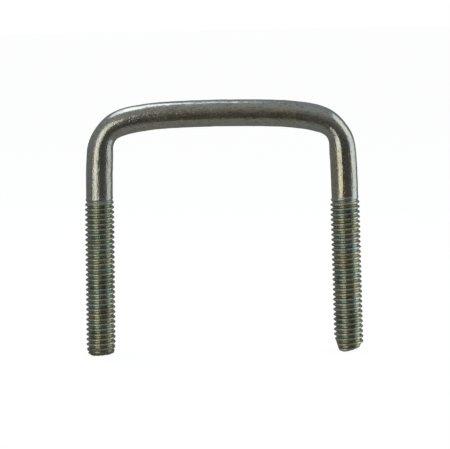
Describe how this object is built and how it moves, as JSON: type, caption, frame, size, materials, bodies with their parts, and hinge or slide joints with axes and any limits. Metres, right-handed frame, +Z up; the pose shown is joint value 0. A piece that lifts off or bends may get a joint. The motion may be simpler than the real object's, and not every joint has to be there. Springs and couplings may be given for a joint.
{
  "type": "u-bolt",
  "caption": "Square-bend U-bolt: one round steel bar bent into a U, with a slightly arched crown and a rolled thread on each leg.",
  "frame": {"origin": "middle of the underside of the box round the bolt, between the two cropped leg ends", "axes": "+Z up from the leg ends to the crown, +X from the left leg to the right leg, Y through the plane of the U"},
  "size_m": [0.0554, 0.0058, 0.0506],
  "materials": {
    "zinc_plated_steel": "zinc plated and passivated to a dull silvery olive, bright drawn shank, darker rolled threads"
  },
  "bodies": {
    "root": {"u_bolt": "zinc_plated_steel"}
  },
  "joints": []
}
